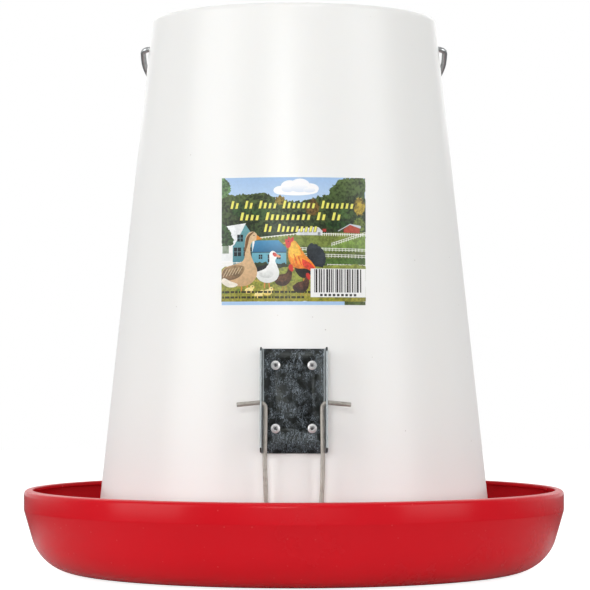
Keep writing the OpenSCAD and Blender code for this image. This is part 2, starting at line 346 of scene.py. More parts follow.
def fine_scratches():
    """Thin scratches in two directions, broken up by a patchy mask."""
    tree, takes, gives = new_group(
        "Fine scratches",
        [("Vector", VECTOR, None), ("Scale", FLOAT, 100.0), ("Share", FLOAT, 0.5)],
        [("Mask", FLOAT)])
    place = takes["Vector"]
    lines = None
    for turn, stretch in (((0.2, 0.5, 0.3), (1, 1, 0.45)), ((-0.4, 2.2, 0.9), (1, 0.8, 0.35))):
        along = stretched(tree, place, stretch, turn)
        streak = noisy(tree, along, takes["Scale"], 1.5, Distortion=1.2)
        away = sums(tree, "ABSOLUTE", sums(tree, "SUBTRACT", streak, 0.5))
        thin = eased_range(tree, away, 0.002, 0.015, 1.0, 0.0)
        lines = thin if lines is None else sums(tree, "MAXIMUM", lines, thin)
    patch = noisy(tree, place, 150.0, 3.0)
    low = sums(tree, "SUBTRACT", 0.72, times(tree, takes["Share"], 0.5))
    patches = eased_range(tree, patch, low, plus(tree, low, 0.16))
    join(tree, times(tree, lines, patches), gives["Mask"])
    return tree


def handling():
    """Soft smudges left by hands and dust, for roughness and a slight greying."""
    tree, takes, gives = new_group(
        "Handling", [("Vector", VECTOR, None), ("Scale", FLOAT, 14.0)],
        [("Smudge", FLOAT), ("Speck", FLOAT)])
    soft = noisy(tree, takes["Vector"], takes["Scale"], 6.0, Roughness=0.65)
    lot, away = cells(tree, takes["Vector"], 130.0, channel=1)
    near = eased_range(tree, away, 0.03, 0.09, 1.0, 0.0)
    speck = times(tree, near, sums(tree, "LESS_THAN", lot, 0.05))
    join(tree, eased_range(tree, soft, 0.42, 0.68), gives["Smudge"])
    join(tree, speck, gives["Speck"])
    return tree


def drawn_grain():
    """Close drawing lines and dull spots of drawn wire and rolled metal."""
    tree, takes, gives = new_group(
        "Drawn grain", [("Vector", VECTOR, None), ("Scale", FLOAT, 900.0)],
        [("Height", FLOAT), ("Dull", FLOAT)])
    lines = noisy(tree, stretched(tree, takes["Vector"], LENGTHWISE), takes["Scale"])
    spots = noisy(tree, takes["Vector"], 240.0, 4.0)
    join(tree, lines, gives["Height"])
    join(tree, eased_range(tree, spots, 0.45, 0.7), gives["Dull"])
    return tree


# ---------- materials ----------

def red_polyethylene():
    material, tree, shader, place = new_material("Red moulded polyethylene")
    skin = use_group(tree, SKIN, Vector=place, Peel_Scale=420.0, Pit_Scale=210.0, Pit_Share=0.16)
    wear = use_group(tree, HANDLING, Vector=place, Scale=16.0)
    height_z = add(tree, "ShaderNodeSeparateXYZ", {0: place}).outputs["Z"]
    # the rim's top 1.6 mm is painted lighter pink, a painted highlight where light falls on the rim, and
    # is also made rougher
    rim = eased_range(tree, height_z, (tray_high.z - 1.6) * MM, (tray_high.z - 0.2) * MM)
    base = mixed(tree, skin["Cloud"], linear("#cb131e"), linear("#d71a26"))
    base = tinted(tree, base, skin["Pits"], 0.35, "#e86a66")
    base = tinted(tree, base, rim, 0.25, "#e4595a")
    base = tinted(tree, base, wear["Smudge"], 0.10, "#b5222a")
    rough = raised(tree, raised(tree, 0.19, wear["Smudge"], 0.10), rim, 0.12)
    shader.inputs["Specular IOR Level"].default_value = 0.14
    set_look(tree, shader, base, rough, skin["Height"], 0.35, 0.10)
    return material


def white_polyethylene():
    material, tree, shader, place = new_material("White moulded polyethylene")
    skin = use_group(tree, SKIN, Vector=place, Peel_Scale=260.0, Pit_Scale=150.0, Pit_Share=0.03)
    wear = use_group(tree, HANDLING, Vector=place, Scale=10.0)
    flow = noisy(tree, stretched(tree, place, LENGTHWISE), 26.0, 3.0)
    base = mixed(tree, skin["Cloud"], linear("#f6f6f3"), linear("#f8f8f6"))
    base = tinted(tree, base, flow, 0.25, "#f2f1ee")
    base = tinted(tree, base, wear["Speck"], 0.5, "#a59c92")
    shader.inputs["Specular IOR Level"].default_value = 0.35
    shader.inputs["Subsurface Weight"].default_value = 0.12
    shader.inputs["Subsurface Radius"].default_value = (1.0, 0.9, 0.8)
    shader.inputs["Subsurface Scale"].default_value = 2 * MM
    rough = raised(tree, 0.28, skin["Cloud"], 0.05)
    uneven = raised(tree, skin["Height"], flow, 3.0)
    set_look(tree, shader, base, rough, uneven, 0.22, 0.10)
    return material


def printed_vinyl():
    """The picture's colours are in the mesh; the print's own speckle is made here."""
    material, tree, shader, place = new_material("Printed vinyl")
    ink = add(tree, "ShaderNodeAttribute", attribute_name="ink")
    leaves = noisy(tree, place, 520.0, 4.0, Roughness=0.65)
    clumps = noisy(tree, place, 130.0, 3.0)
    speckle = plus(tree, times(tree, leaves, 0.6), times(tree, clumps, 0.4))
    dark = eased_range(tree, speckle, 0.38, 0.62, 0.15, 1.9)
    change = times(tree, sums(tree, "SUBTRACT", dark, 1.0), ink.outputs["Alpha"])
    grain = plus(tree, change, 1.0)
    tone = add(tree, "ShaderNodeCombineColor", {0: grain, 1: grain, 2: grain}).outputs[0]
    base = mixed(tree, 1.0, ink.outputs["Color"], tone, "MULTIPLY")
    wear = use_group(tree, HANDLING, Vector=place, Scale=30.0)
    rough = raised(tree, 0.34, wear["Smudge"], 0.12)
    set_look(tree, shader, base, rough, leaves, 0.12, 0.03)
    return material


def galvanised_sheet():
    material, tree, shader, place = new_material("Dark galvanised sheet")
    marks = use_group(tree, SCRATCHES, Vector=place, Scale=420.0, Share=0.68)
    specks = use_group(tree, SCRATCHES, Vector=place, Scale=900.0, Share=0.62)
    lot, _ = cells(tree, place, 260.0)
    edge = add(tree, "ShaderNodeAttribute", attribute_name="cut_edge").outputs["Fac"]
    # near-black base: a painted dark reflection of the dim surroundings that the mirror-like sheet
    # reflects; the cells vary it at random like spangle
    base = mixed(tree, lot, linear("#212321"), linear("#383b3b"))
    shine = sums(tree, "MAXIMUM", times(tree, marks["Mask"], 0.68), times(tree, specks["Mask"], 0.4))
    base = mixed(tree, shine, base, linear("#a9b6c2"))
    # lighter and less metallic on the cut edges, which are bare steel, and on the flanges' sideways
    # faces, where the lighter tone is a painted reflection of the side lights
    base = tinted(tree, base, edge, 0.9, "#b3bbbd")
    bare = sums(tree, "MAXIMUM", times(tree, shine, 0.6), times(tree, edge, 0.75))
    join(tree, sums(tree, "SUBTRACT", 0.88, bare), shader.inputs["Metallic"])
    rough = raised(tree, raised(tree, 0.30, lot, 0.10), shine, 0.2)
    set_look(tree, shader, base, rough, raised(tree, shine, lot, 0.4), 0.3, 0.05)
    return material


def bright_metal(name, tone, dull_tone, roughness, metallic=0.95, scale=900.0):
    """Wire, rivets, pins and washers: drawn or pressed metal with dull spots."""
    material, tree, shader, place = new_material(name)
    grain = use_group(tree, GRAIN, Vector=place, Scale=scale)
    marks = use_group(tree, SCRATCHES, Vector=place, Scale=700.0, Share=0.4)
    base = tinted(tree, linear(tone), grain["Dull"], 0.6, dull_tone)
    base = tinted(tree, base, marks["Mask"], 0.4, "#e6e6e4")
    shader.inputs["Metallic"].default_value = metallic
    rough = raised(tree, roughness, grain["Dull"], 0.14)
    set_look(tree, shader, base, rough, grain["Height"], 0.25, 0.03)
    return material


# ---------- making pieces ----------

def add_piece(name, shape, *materials):
    """Puts a bmesh or a mesh into the scene as an object at the origin."""
    mesh = shape
    if isinstance(shape, bmesh.types.BMesh):
        mesh = bpy.data.meshes.new(name)
        shape.to_mesh(mesh)
        shape.free()
    piece = bpy.data.objects.new(name, mesh)
    bpy.context.scene.collection.objects.link(piece)
    for material in materials:
        mesh.materials.append(material)
    return piece


def recoat(piece, material):
    """One material only: the cutting tools leave slots of their own."""
    piece.data.materials.clear()
    piece.data.materials.append(material)


def modify(piece, kind, **settings):
    work = piece.modifiers.new(kind.capitalize(), kind)
    for key, value in settings.items():
        setattr(work, key, value)
    return work


def settle(piece, sharp=35, outward=True):
    """Turns a piece's modifiers into plain mesh, faces outwards, smooth but for sharp edges."""
    ready = piece.evaluated_get(bpy.context.evaluated_depsgraph_get())
    mesh = bpy.data.meshes.new_from_object(ready)
    piece.modifiers.clear()
    piece.data = mesh
    mesh.name = piece.name
    if outward:
        shape = bmesh.new()
        shape.from_mesh(mesh)
        bmesh.ops.remove_doubles(shape, verts=shape.verts, dist=SAME_SPOT * MM)
        bmesh.ops.recalc_face_normals(shape, faces=shape.faces)
        shape.to_mesh(mesh)
        shape.free()
    mesh.shade_smooth()
    mesh.set_sharp_from_angle(angle=math.radians(sharp))
    return piece


def grow(piece, tree, values):
    """Runs a geometry node tree on a piece, with its named inputs."""
    steps = modify(piece, "NODES", node_group=tree)
    for item in tree.interface.items_tree:
        if item.in_out == "INPUT" and item.name in values:
            steps[item.identifier] = values[item.name]
    return settle(piece)


def polyline(name, points, closed=False, thickness=None):
    """Points in mm, joined in order, as the start of a tree."""
    count = len(points)
    edges = [(i, (i + 1) % count) for i in range(count if closed else count - 1)]
    mesh = bpy.data.meshes.new(name)
    mesh.from_pydata([Vector((*p, 0)[:3]) * MM for p in points], edges, [])
    sizes = mesh.attributes.new("thickness", "FLOAT", "POINT")
    sizes.data.foreach_set("value", thickness or [1.0] * count)
    return mesh


GEOMETRY = "NodeSocketGeometry"
WHOLE = "NodeSocketInt"
COATING = "NodeSocketMaterial"
OBJECT = "NodeSocketObject"


def ring_section(tree, outline, around):
    """An outline of (radius, height) swept round the Z axis as a closed skin."""
    moved = add(tree, "GeometryNodeTransform", {"Geometry": outline, "Translation": (-1, 0, 0)})
    flipped = add(tree, "GeometryNodeTransform", {"Geometry": moved.outputs[0], "Scale": (1, -1, 1)})
    section = add(tree, "GeometryNodeMeshToCurve", {"Mesh": flipped.outputs[0]})
    ring = add(tree, "GeometryNodeCurvePrimitiveCircle", {"Resolution": around, "Radius": 1.0})
    skin = add(tree, "GeometryNodeCurveToMesh",
               {"Curve": ring.outputs[0], "Profile Curve": section.outputs[0]})
    values = {"Geometry": skin.outputs[0], "Distance": SAME_SPOT * MM}
    return add(tree, "GeometryNodeMergeByDistance", values).outputs[0]


def coated(tree, made, coating, end):
    """The end of every tree: real copies with their material."""
    solid = add(tree, "GeometryNodeRealizeInstances", {"Geometry": made})
    values = {"Geometry": solid.outputs[0], "Material": coating}
    join(tree, add(tree, "GeometryNodeSetMaterial", values).outputs[0], end)
    return tree


def turned_wall_tree():
    """A moulded wall: one outline turned about Z."""
    tree, takes, gives = new_group(
        "Turned wall",
        [("Outline", GEOMETRY, None), ("Steps Around", WHOLE, 96), ("Coating", COATING, None)],
        [("Wall", GEOMETRY)], "GeometryNodeTree")
    wall = ring_section(tree, takes["Outline"], takes["Steps Around"])
    return coated(tree, wall, takes["Coating"], gives["Wall"])


def round_wire_tree():
    """A round wire along a path; each point's thickness shapes the cut ends."""
    tree, takes, gives = new_group(
        "Round wire",
        [("Path", GEOMETRY, None), ("Wire Radius", FLOAT, 0.0016), ("Steps Around", WHOLE, 24),
         ("Coating", COATING, None)],
        [("Wire", GEOMETRY)], "GeometryNodeTree")
    path = add(tree, "GeometryNodeMeshToCurve", {"Mesh": takes["Path"]})
    size = add(tree, "GeometryNodeInputNamedAttribute", {"Name": "thickness"}, data_type="FLOAT")
    section = add(tree, "GeometryNodeCurvePrimitiveCircle",
                  {"Resolution": takes["Steps Around"], "Radius": takes["Wire Radius"]})
    tube = add(tree, "GeometryNodeCurveToMesh",
               {"Curve": path.outputs[0], "Profile Curve": section.outputs[0],
                "Scale": size.outputs["Attribute"], "Fill Caps": True})
    return coated(tree, tube.outputs[0], takes["Coating"], gives["Wire"])


def fastener_tree():
    """The same turned part at every place of another object, each turned as its place says."""
    tree, takes, gives = new_group(
        "Fasteners",
        [("Outline", GEOMETRY, None), ("Places", OBJECT, None), ("Steps Around", WHOLE, 32),
         ("Coating", COATING, None)],
        [("Fasteners", GEOMETRY)], "GeometryNodeTree")
    part = ring_section(tree, takes["Outline"], takes["Steps Around"])
    places = add(tree, "GeometryNodeObjectInfo", {"Object": takes["Places"]})
    turn = add(tree, "GeometryNodeInputNamedAttribute", {"Name": "turn"}, data_type="FLOAT_VECTOR")
    turned = add(tree, "FunctionNodeEulerToRotation", {"Euler": turn.outputs["Attribute"]})
    copies = add(tree, "GeometryNodeInstanceOnPoints",
                 {"Points": places.outputs["Geometry"], "Instance": part, "Rotation": turned.outputs[0]})
    return coated(tree, copies.outputs[0], takes["Coating"], gives["Fasteners"])


def turned_wall(name, outline, material):
    piece = add_piece(name, polyline(name, outline, closed=True))
    return grow(piece, TURNED_WALL, {"Steps Around": AROUND, "Coating": material})


END_EASE = 0.35                 # a wire's cut end narrows over this length
END_SIZE = 0.8                  # to this share of its thickness


def round_wire(name, path, diameter, material, around=24):
    """A wire along the path's points in mm, its two ends slightly eased."""
    steps = [path[0]] + path + [path[-1]]
    for end, beside in ((0, 2), (-1, -3)):
        inward = (Vector(steps[beside]) - Vector(steps[end])).normalized() * END_EASE
        steps[beside + (-1 if end == 0 else 1)] = Vector(steps[end]) + inward
    thickness = [END_SIZE] + [1.0] * (len(steps) - 2) + [END_SIZE]
    piece = add_piece(name, polyline(name, [tuple(p) for p in steps], thickness=thickness))
    values = {"Wire Radius": diameter * MM / 2, "Steps Around": around, "Coating": material}
    return grow(piece, ROUND_WIRE, values)


def cut(piece, tool, how="DIFFERENCE"):
    """Cuts a tool out of a piece, or joins it on, and removes the tool."""
    modify(piece, "BOOLEAN", object=tool, operation=how, solver="EXACT")
    settle(piece)
    bpy.data.objects.remove(tool)


def drill(shape, matrix, radius, length, steps=48):
    """Adds a cylinder along Z of the matrix to a cutting tool, in mm."""
    grown = Matrix.Scale(MM, 4) @ matrix
    bmesh.ops.create_cone(shape, cap_ends=True, segments=steps, radius1=radius, radius2=radius,
                          depth=length, matrix=grown)


def on_wall(z):
    """A place on the front of the hopper's wall: +Y outwards, +Z up the wall, in mm."""
    place = Matrix.Translation((0, -hopper_r(z), z))
    return place @ Matrix.Rotation(math.radians(-TAPER), 4, "X") @ Matrix.Rotation(math.pi, 4, "Z")


def at_end(end):
    return Matrix.Rotation(math.radians(FRONT_AND_REAR[end]), 4, "Z")


# ---------- tray ----------

TRAY_WALL = 3
TRAY_BAND = 15                  # height of the upright band under the rim
TRAY_LEAN = 16.2                # lean of the wall below the band, in degrees
TRAY_CORNER_R = 34
TRAY_FOOT_R = 150
FOOT_RISE = 0.8                 # the wall's corner starts this far above the ring it rests on
FEED_CONE = (124, 44, 22)       # base radius, height and tip radius under its skin
TRAY_LIP = 6.5                  # how far the rim turns in
GROOVE_TOP = 4.3                # top of the channel that holds the bottom of a wire
GROOVE_R = 2.6                  # half its width
PAD_TOP = GROOVE_TOP + TRAY_WALL
PAD_R = 7                       # half the width of the pad over the channel
LEG_HOLE_R = 2.5


def tray_outline():
    w = TRAY_WALL
    r = tray_high.x
    slope = math.tan(math.radians(TRAY_LEAN))
    knee = tray_high.z - TRAY_BAND
    corner_z = TRAY_CORNER_R + FOOT_RISE
    corner_x = (r - slope * knee + slope * corner_z
                - TRAY_CORNER_R / math.cos(math.radians(TRAY_LEAN)))
    base_r, cone_h, tip_r = FEED_CONE
    dip = math.degrees(math.atan(cone_h / base_r))
    side = math.radians(dip)
    tip_z = (base_r - tip_r * math.sin(side)) * math.tan(side) - tip_r * math.cos(side)
    lip = r - TRAY_LIP
    return eased([
        *arc(0, tip_z, tip_r, 90, 90 - dip),
        (base_r, 0, 3), (TRAY_FOOT_R, 0, 2),
        *arc(corner_x, corner_z, TRAY_CORNER_R, -90, -TRAY_LEAN, 22),
        (r, knee, 5), (r, tray_high.z, 4), (lip, tray_high.z, 0.7), (lip, tray_high.z - w, 0.7),
        (r - w, tray_high.z - w, 1), (r - w, knee + w * slope / 2, 8),
        *arc(corner_x, corner_z, TRAY_CORNER_R - w, -TRAY_LEAN, -90, 22),
        (TRAY_FOOT_R, w, 2), (base_r + w * math.tan(side / 2), w, 4),
        *arc(0, tip_z, tip_r + w, 90 - dip, 90),
    ])


def long_pad(shape, matrix, half_l, half_w, z0, z1, ease=0.0, steps=14):
    """A bar with round ends along X, its top edge eased, added to a shape, in mm."""
    levels = [(z0, 0.0)] + [(z1 - ease + ease * math.sin(t), ease * (1 - math.cos(t)))
                            for t in (math.radians(18 * i) for i in range(6))]
    rings = []
    for z, inset in levels if ease else [(z0, 0.0), (z1, 0.0)]:
        ends = []
        for side, start in ((1, -90), (-1, 90)):
            ends += arc(side * (half_l - half_w), 0, half_w - inset, start, start + 180, steps)
        rings.append([shape.verts.new(matrix @ Vector((x, y, z)) * MM) for x, y in ends])
    for low, high in zip(rings, rings[1:]):
        for i in range(len(low)):
            j = (i + 1) % len(low)
            shape.faces.new((low[i], low[j], high[j], high[i]))
    shape.faces.new(rings[0][::-1])
    shape.faces.new(rings[-1])


def make_tray():
    tray = turned_wall("Tray", tray_outline(), RED)
    pads, grooves, holes = bmesh.new(), bmesh.new(), bmesh.new()
    for end in FRONT_AND_REAR:
        place = at_end(end) @ Matrix.Translation((0, FOOT_Y, 0))
        long_pad(pads, place, FOOT_X + 8, PAD_R, FOOT_RISE + 0.2, PAD_TOP, ease=2.0)
        long_pad(grooves, place, FOOT_X + 3, GROOVE_R, -1, GROOVE_TOP)
        for side in (-1, 1):
            drill(holes, place @ Matrix.Translation((side * FOOT_X, 0, 4)), LEG_HOLE_R, 14, 32)
    cut(tray, add_piece("Pads", pads), "UNION")
    cut(tray, add_piece("Grooves", grooves))
    cut(tray, add_piece("Holes", holes))
    recoat(tray, RED)
    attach(tray, "tray")
    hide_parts("tray")


# ---------- hopper ----------

HOPPER_WALL = 3
HOPPER_LIP_R = 4.6              # round of the turned-in lip
BAIL_HOLE_GAP = 0.06
THROUGH_BOTH_WALLS = 260
RIVET_DX = 25.9                 # between rivets, across and up
RIVET_DZ = 44.75
RIVET_RISE = 2.9                # height of the rivets' centre above the bracket's middle
RIVET_HOLE_R = 1.65
WASHER_R = 4.5
WASHER_T = 1
BRACKET_T = 1.2
FLANGE_TOP = 14.9               # this far out from the wall, a face is a flange's cut edge
SHEET_TOP = 1.4                 # and this far out, it's past the sheet's front
SKIN_GAP = 0.05                 # air between the wall and what lies on it


def rivet_places():
    """A matrix for each rivet of both brackets: +Z out of the sheet, 0 on its face."""
    places = []
    for end in FRONT_AND_REAR:
        for up in (1, -1):
            for side in (1, -1):
                offset = (side * RIVET_DX / 2, SKIN_GAP + BRACKET_T, RIVET_RISE + up * RIVET_DZ / 2)
                places.append(at_end(end) @ on_wall(BRACKET_Z) @ Matrix.Translation(offset)
                              @ Matrix.Rotation(math.radians(-90), 4, "X"))
    return places


def hopper_outline():
    w = HOPPER_WALL / math.cos(math.radians(TAPER))
    top = hopper_high.z
    bottom = hopper_low.z
    lip_r = HOPPER_LIP_R
    lip_x = hopper_r(top - lip_r) - lip_r / math.cos(math.radians(TAPER))
    return eased([
        (hopper_high.x - w, bottom, 0.8), (hopper_high.x, bottom, 0.8),
        *arc(lip_x, top - lip_r, lip_r, TAPER, 90, 14),
        (lip_x - 2.2, top, 0.8), (lip_x - 2.2, top - HOPPER_WALL, 0.8),
        *arc(lip_x, top - lip_r, lip_r - HOPPER_WALL, 90, TAPER, 8),
    ])


def with_levels(outline, gap=14):
    """Adds points on long straight stretches, so that the turned faces stay even."""
    points = []
    for here, after in zip(outline, outline[1:] + outline[:1]):
        parts = max(1, round(math.dist(here, after) / gap))
        points += [tuple(Vector(here).lerp(Vector(after), i / parts)) for i in range(parts)]
    return points


def make_hopper():
    hopper = turned_wall("Hopper", with_levels(hopper_outline()), WHITE)
    holes = bmesh.new()
    across = Matrix.Translation((0, 0, BAIL_Z)) @ Matrix.Rotation(math.radians(90), 4, "Y")
    drill(holes, across, BAIL_D / 2 + BAIL_HOLE_GAP, THROUGH_BOTH_WALLS)
    for place in rivet_places():
        drill(holes, place, RIVET_HOLE_R, 18, 24)
    cut(hopper, add_piece("Holes", holes))
    recoat(hopper, WHITE)
    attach(hopper, "hopper")
    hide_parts("hopper")


# ---------- brackets and rivets ----------

def make_bracket(end):
    """The model's own sheet-metal channel, its edges eased; its cut edges are marked as bare steel, and
    its flanges' sideways faces are marked for a painted reflection of the side lights.
    """
    shape = bmesh.new()
    shape.from_mesh(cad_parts[end + "_bracket"].data)
    bmesh.ops.remove_doubles(shape, verts=shape.verts, dist=0.001 * MM)
    bmesh.ops.dissolve_limit(shape, angle_limit=math.radians(1.5), verts=shape.verts, edges=shape.edges)
    bracket = add_piece(end.capitalize() + "_bracket", shape)
    modify(bracket, "BEVEL", width=0.18 * MM, segments=2, limit_method="ANGLE",
           angle_limit=math.radians(50))
    settle(bracket, 30, outward=False)
    mesh = bracket.data
    to_wall = (at_end(end) @ on_wall(BRACKET_Z)).inverted()
    cut_edge = mesh.attributes.new("cut_edge", "FLOAT", "FACE")
    for face, mark in zip(mesh.polygons, cut_edge.data):
        deep = (to_wall @ (face.center / MM)).y
        if deep > FLANGE_TOP:
            mark.value = 1.0
        # sideways flange faces: lightened as a painted reflection of the side lights
        elif deep > SHEET_TOP:
            mark.value = 0.75 * min(1, abs(face.normal.x) * 1.2)
    recoat(bracket, ZINC)
    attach(bracket, "hopper")
    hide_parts(end + "_bracket")


def washer_seat():
    """How far behind a rivet's head its washer sits: the curved wall falls away there."""
    reach = RIVET_DX / 2 + WASHER_R
    inner_r = hopper_r(BRACKET_Z + RIVET_DZ) - HOPPER_WALL
    return -(BRACKET_T + HOPPER_WALL + reach * reach / (2 * inner_r) + 0.2)


def make_fasteners():
    places = rivet_places()
    points = bpy.data.meshes.new("Rivet places")
    points.from_pydata([place.translation * MM for place in places], [], [])
    turns = points.attributes.new("turn", "FLOAT_VECTOR", "POINT")
    turns.data.foreach_set("vector", [angle for place in places for angle in place.to_euler()])
    spots = add_piece("Rivet places", points)

    tail = washer_seat() - WASHER_T
    seat = tail - 2.6
    outlines = {
        "rivet": eased([
            (1.05, seat, 0.2), (1.8, seat, 0.2), (2.4, seat + 0.6, 0.3), (2.4, tail, 0.3),
            (1.6, tail), (1.6, 0), (3.28, 0, 0.1), (3.4, 0.22, 0.1), *arc(0, -4, 5.25, 51.5, 70, 7),
            (1.78, 0.96, 0.08), (1.45, -1.0, 0.1), (1.05, -1.0, 0.1)]),
        "stub": eased([
            (0, 0.02), (0.45, 0.2, 0.1), (0.8, 0.12, 0.1), (0.95, -0.1, 0.1), (0.95, seat),
            (1.45, seat, 0.1), (1.45, seat - 1, 0.3), (0, seat - 1.4)]),
        "washer": eased([
            (RIVET_HOLE_R, tail, 0.1), (WASHER_R, tail, 0.25), (WASHER_R, tail + WASHER_T, 0.25),
            (RIVET_HOLE_R, tail + WASHER_T, 0.1)]),
    }
    looks = {"rivet": (RIVET_METAL, "rivet"), "stub": (PIN_METAL, "rivet_stub"),
             "washer": (WASHER_METAL, "backing_washer")}
    for part, outline in outlines.items():
        piece = add_piece(part.capitalize() + "s", polyline(part, outline, closed=True))
        grow(piece, FASTENERS, {"Places": spots, "Steps Around": 40, "Coating": looks[part][0]})
        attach(piece, "hopper")
        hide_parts(*[f"{end}_{part}_{i}" for end in FRONT_AND_REAR for i in (1, 2, 3, 4)])
    bpy.data.objects.remove(spots)


# ---------- wires ----------

def bent_path(steps, detail=6):
    """Points of a wire in a plane: each step is a run, a turn to the left and a bend radius."""
    here, heading = Vector((0, 0)), 0.0
    points = [here.copy()]
    for run, turn, radius in steps:
        here = here + Vector((math.cos(heading), math.sin(heading))) * run
        points.append(here.copy())
        parts = math.ceil(abs(turn) / detail)
        for _ in range(parts):
            part = math.radians(turn / parts)
            chord = 2 * radius * math.sin(abs(part) / 2)
            here = here + Vector((math.cos(heading + part / 2), math.sin(heading + part / 2))) * chord
            heading += part
            points.append(here.copy())
    return points


WIRE_BEND = 4                   # radius of a wire's bends, to its middle line
WIRE_DROOP = 5.3                # droop of a wire's end, in degrees
WIRE_TIP_X = 40.2
WIRE_TOP_X = 20.0
WIRE_TOP_Z = HOLE_Z + 0.1
WIRE_BOW = [(FOOT_X, 9.5), (18.4, 34), (19.3, 58), (20.2, 82), (20.3, 96), (20.1, 110),
            (WIRE_TOP_X, 120), (WIRE_TOP_X, 122)]


def leg_path():
    """Half of an adjusting wire, from the middle under the tray to its drooping end at +X."""
    bend = WIRE_BEND
    floor_z = WIRE_D / 2 + 0.4
    under = [(0, FOOT_Y, floor_z), (FOOT_X - bend - 4, FOOT_Y, floor_z)]
    under += [(x, FOOT_Y, z) for x, z in arc(FOOT_X - bend, floor_z + bend, bend, -90, 0)]
    lean = (HOLE_Y - FOOT_Y) / (HOLE_Z - FOOT_Z)
    upright = smooth([WIRE_BOW[0], *WIRE_BOW, WIRE_BOW[-1]], 5) + WIRE_BOW[-1:]
    turn = arc(WIRE_TOP_X + bend, WIRE_TOP_Z - bend, bend, 180, 90 - WIRE_DROOP, 12)
    last_x, last_z = turn[-1]
    tip = (WIRE_TIP_X, last_z - (WIRE_TIP_X - last_x) * math.tan(math.radians(WIRE_DROOP)))
    middle = ((last_x + tip[0]) / 2, (last_z + tip[1]) / 2)
    plane = [*upright, *turn, middle, tip]
    return under + [(x, FOOT_Y + lean * (z - FOOT_Z), z) for x, z in plane]


def make_adjusting_wires():
    for end in FRONT_AND_REAR:
        for side, mirror in (("right", 1), ("left", -1)):
            path = [tuple(at_end(end) @ Vector((mirror * x, y, z))) for x, y, z in leg_path()]
            wire = round_wire(f"{end.capitalize()}_wire_{side}", path, WIRE_D, WIRE_METAL)
            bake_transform(wire)
            nodes = [f"{end}_wire_{side}_leg"]
            if side == "right":
                nodes.append(f"{end}_wire_foot")
            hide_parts(*nodes)


def make_bail():
    half_w, reach = 114.6, 150      # half width at the hooks, and from the holes to the top
    bend, turn_r = 5, 60            # radii of the hooks' bends and of the shoulders
    upright, lean = 7, 14           # straight part above a hook, and the sides' lean in degrees
    hook_x, hook = 101.5, 8         # place and length of the ends inside the wall
    hang = 58 - 90                  # the bail leans back by this at rest, in degrees
    tilt = math.radians(lean)
    side_x = half_w - turn_r * (1 - math.cos(tilt))
    side_y = bend + upright + turn_r * math.sin(tilt)
    edge = math.cos(tilt) * (side_x + side_y * math.tan(tilt))
    centre_y = (reach - edge) / (1 - math.sin(tilt))
    top_r = reach - centre_y
    run = (centre_y + top_r * math.sin(tilt) - side_y) / math.cos(tilt)
    through = half_w - bend - hook_x
    flat = bent_path([
        (hook, -90, bend), (through, -90, bend), (upright, -lean, turn_r), (run, 2 * lean - 180, top_r),
        (run, -lean, turn_r), (upright, -90, bend), (through, -90, bend), (hook, 0, 0)])
    rest = Matrix.Translation((0, 0, BAIL_Z)) @ Matrix.Rotation(math.radians(hang), 4, "X")
    turn = Matrix.Rotation(math.radians(-90), 4, "Z")
    start = Matrix.Translation((bend - hook_x, bend + hook, 0))
    path = [tuple(rest @ start @ turn @ Vector((x, y, 0))) for x, y in flat]
    bail = round_wire("Bail", path, BAIL_D, BAIL_METAL, 28)
    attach(bail, "bail")
    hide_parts("bail")


# ---------- the label's picture ----------
# Flat shapes in mm from the label's lower left corner, laid one over another. Each is
# (lower colour, upper colour, speckle, outline).

LABEL_W = label_high.x - label_low.x
LABEL_H = label_high.z - label_low.z
LABEL_T = 0.2
LABEL_CORNER_R = 3.5
LABEL_STRIPS = 42               # upright strips that let the flat sheet bend round the cone
PRINT_MARGINS = (0.35, 0.7, 0.6)    # left, right, and top and bottom
INSIDE_ONLY = 1                 # keeps the triangles that lie inside a shape
picture = []


def lay(tone, outline, speckle=0.0, top_tone=None):
    picture.append((linear(tone), linear(top_tone or tone), speckle, outline))


def block(u0, v0, u1, v1):
    return [(u0, v0), (u1, v0), (u1, v1), (u0, v1)]


def blob(knots, steps=5):
    """A smooth closed outline through the knots."""
    return smooth([knots[-1], *knots, *knots[:2]], steps)


def rounded(tone, knots, speckle=0.0, top_tone=None):
    lay(tone, blob(knots), speckle, top_tone)


def on_oval(u, v, ru, rv, angle):
    """The place at an angle in degrees on an oval."""
    return u + ru * math.cos(math.radians(angle)), v + rv * math.sin(math.radians(angle))


def oval(u, v, ru, rv, tilt=0, steps=16):
    c, s = math.cos(math.radians(tilt)), math.sin(math.radians(tilt))
    turns = (2 * math.pi * i / steps for i in range(steps))
    ring = [(ru * math.cos(t), rv * math.sin(t)) for t in turns]
    return [(u + x * c - y * s, v + x * s + y * c) for x, y in ring]


def bar(u0, v0, u1, v1, width):
    """A straight strip from one point to another."""
    along = Vector((u1 - u0, v1 - v0)).normalized() * width / 2
    nx, ny = -along.y, along.x
    return [(u0 - nx, v0 - ny), (u1 - nx, v1 - ny), (u1 + nx, v1 + ny), (u0 + nx, v0 + ny)]


def leafy(knots, size, seed):
    """An outline through the knots with a ragged, leafy edge."""
    points = []
    for i, (u, v) in enumerate(blob(knots, 9)):
        du = noise.noise(Vector((u * 0.9, v * 0.9, seed))) * size
        dv = noise.noise(Vector((u * 0.9, v * 0.9, seed + 7.3))) * size
        points.append((u + du, v + dv + (size * 0.35 if i % 2 else 0)))
    return points


def fence(u0, v0, u1, v1, height, gap, rails=2, thin=0.35, tone="#f1f1ea"):
    steps = max(1, round(abs(u1 - u0) / gap))
    for i in range(steps + 1):
        t = i / steps
        u, v = u0 + (u1 - u0) * t, v0 + (v1 - v0) * t
        lay(tone, bar(u, v, u, v + height, thin))
    for i in range(rails):
        rise = height * (i + 0.7) / rails
        lay(tone, bar(u0, v0 + rise, u1, v1 + rise, thin))


def strips(tone, width, *lines):
    """Straight strips of one tone and width, such as a bird's legs."""
    for line in lines:
        lay(tone, bar(*line, width))


